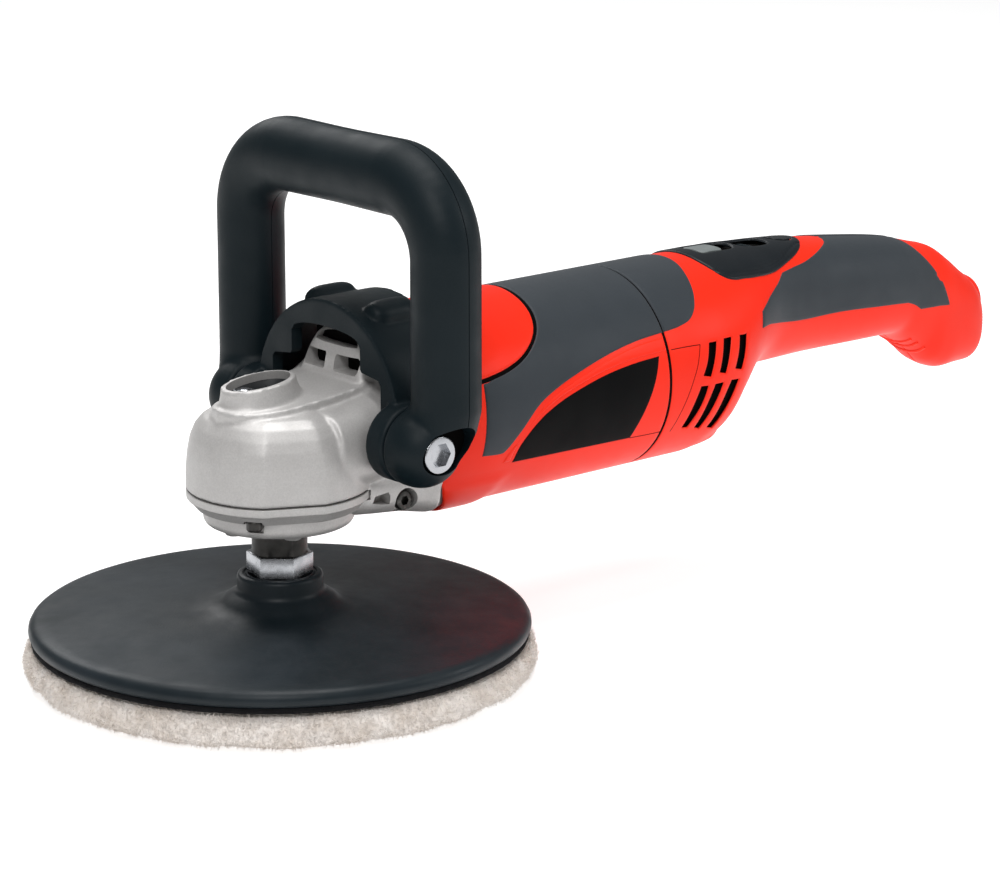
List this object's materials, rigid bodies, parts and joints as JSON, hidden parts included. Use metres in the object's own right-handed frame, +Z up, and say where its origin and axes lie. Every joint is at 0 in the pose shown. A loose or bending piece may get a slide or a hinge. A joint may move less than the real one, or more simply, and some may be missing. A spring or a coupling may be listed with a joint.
{
  "type": "rotary polisher",
  "caption": "Corded rotary polisher with a right-angle gear head, D-shaped front handle, soft-grip rear handle, backing pad and wool bonnet.",
  "frame": {"origin": "on the spindle axis at the bonnet's lower face", "axes": "+X from the spindle towards the rear end of the tool, +Z up along the spindle, Y across the tool"},
  "size_m": [0.4537, 0.185, 0.1919],
  "materials": {
    "red_plastic": "satin moulded red housing",
    "grey_grip": "matte soft grip",
    "black_plastic": "matte moulded black",
    "black_rubber": "semi-gloss moulded rubber",
    "cast_metal": "silver lacquered die casting",
    "bright_steel": "bright plated",
    "dark_steel": "dark oiled steel",
    "wool": "napped off-white wool",
    "hook_layer": "hook-and-loop layer",
    "copper": "lacquered copper wire",
    "lamination": "stacked sheet",
    "brass": "stamped brass",
    "carbon": "pressed carbon",
    "circuit_board": "board"
  },
  "bodies": {
    "tool": {"armature_bearing_front": "bright_steel", "armature_bearing_rear": "bright_steel", "barrel_soft_grip": "grey_grip", "bearing_flange": "cast_metal", "brush_holder_left": "brass", "brush_holder_right": "brass", "carbon_brush_left": "carbon", "carbon_brush_right": "carbon", "control_panel": "black_plastic", "cord_gland": "black_rubber", "field_coil_lower": "copper", "field_coil_upper": "copper", "flange_screw_1": "dark_steel", "flange_screw_2": "dark_steel", "flange_screw_3": "dark_steel", "flange_screw_4": "dark_steel", "front_bearing_plate": "cast_metal", "gear_housing": "cast_metal", "handle_bolt_left": "bright_steel", "handle_bolt_right": "bright_steel", "handle_collar": "black_plastic", "idler_bearing": "bright_steel", "label_panel_left": "black_plastic", "label_panel_right": "black_plastic", "lock_spring": "bright_steel", "motor_housing": "red_plastic", "rear_bearing_bracket": "black_plastic", "rear_housing_left": "red_plastic", "rear_housing_right": "red_plastic", "rear_soft_grip_left": "grey_grip", "rear_soft_grip_right": "grey_grip", "shoulder_soft_grip": "grey_grip", "side_cap_left": "red_plastic", "side_cap_right": "red_plastic", "speed_board": "circuit_board", "spindle_bearing_lower": "bright_steel", "spindle_bearing_upper": "bright_steel", "stator_core": "lamination", "switch_block": "black_plastic"},
    "spindle": {"polishing_bonnet": "wool", "velcro_layer": "hook_layer", "backing_pad": "black_rubber", "pad_hub_nut": "bright_steel", "output_spindle": "dark_steel", "spindle_gear": "dark_steel"},
    "idler": {"idler_shaft": "dark_steel", "bevel_gear": "dark_steel"},
    "armature": {"armature_shaft": "dark_steel", "armature_core": "lamination", "armature_winding_front": "copper", "armature_winding_rear": "copper", "commutator": "copper", "cooling_fan": "black_plastic"},
    "lock_button": {"spindle_lock_button": "black_plastic"},
    "slide_switch": {"slide_switch": "grey_grip"},
    "speed_wheel": {"speed_wheel": "black_plastic"},
    "power_button": {"power_button": "black_plastic"},
    "handle": {"handle_shell_front": "black_plastic", "handle_shell_rear": "black_plastic"}
  },
  "joints": [
    {"name": "spindle_spin", "type": "hinge", "parent": "tool", "child": "spindle", "pos_m": [0, 0, 0.05], "axis": [0, 0, 1], "continuous": true},
    {"name": "idler_spin", "type": "hinge", "parent": "tool", "child": "idler", "pos_m": [0.03667, 0, 0.08], "axis": [0, 0, 1], "continuous": true},
    {"name": "armature_spin", "type": "hinge", "parent": "tool", "child": "armature", "pos_m": [0.12, 0, 0.0878], "axis": [1, 0, 0], "continuous": true},
    {"name": "spindle_lock_press", "type": "slide", "parent": "tool", "child": "lock_button", "axis": [0, 0, -1], "range_m": [0, 0.003], "stiffness_N_per_m": 800, "springref_m": -0.001, "deforming": ["lock_spring"]},
    {"name": "slide_switch_move", "type": "slide", "parent": "tool", "child": "slide_switch", "axis": [1, 0, 0], "range_m": [0, 0.0035]},
    {"name": "speed_wheel_turn", "type": "hinge", "parent": "tool", "child": "speed_wheel", "pos_m": [0.231, 0, 0.1135], "axis": [0, 1, 0], "range_deg": [0, 250]},
    {"name": "power_button_press", "type": "slide", "parent": "tool", "child": "power_button", "axis": [0, 0, -1], "range_m": [0, 0.0015], "stiffness_N_per_m": 600, "springref_m": -0.001},
    {"name": "handle_tilt", "type": "hinge", "parent": "tool", "child": "handle", "pos_m": [0.0235, 0, 0.0884], "axis": [0, 1, 0], "range_deg": [-40, 40]}
  ],
  "couplings": [
    {"joint": "idler_spin", "follows": "spindle_spin", "ratio": -2.2143},
    {"joint": "armature_spin", "follows": "spindle_spin", "ratio": -7.75}
  ]
}
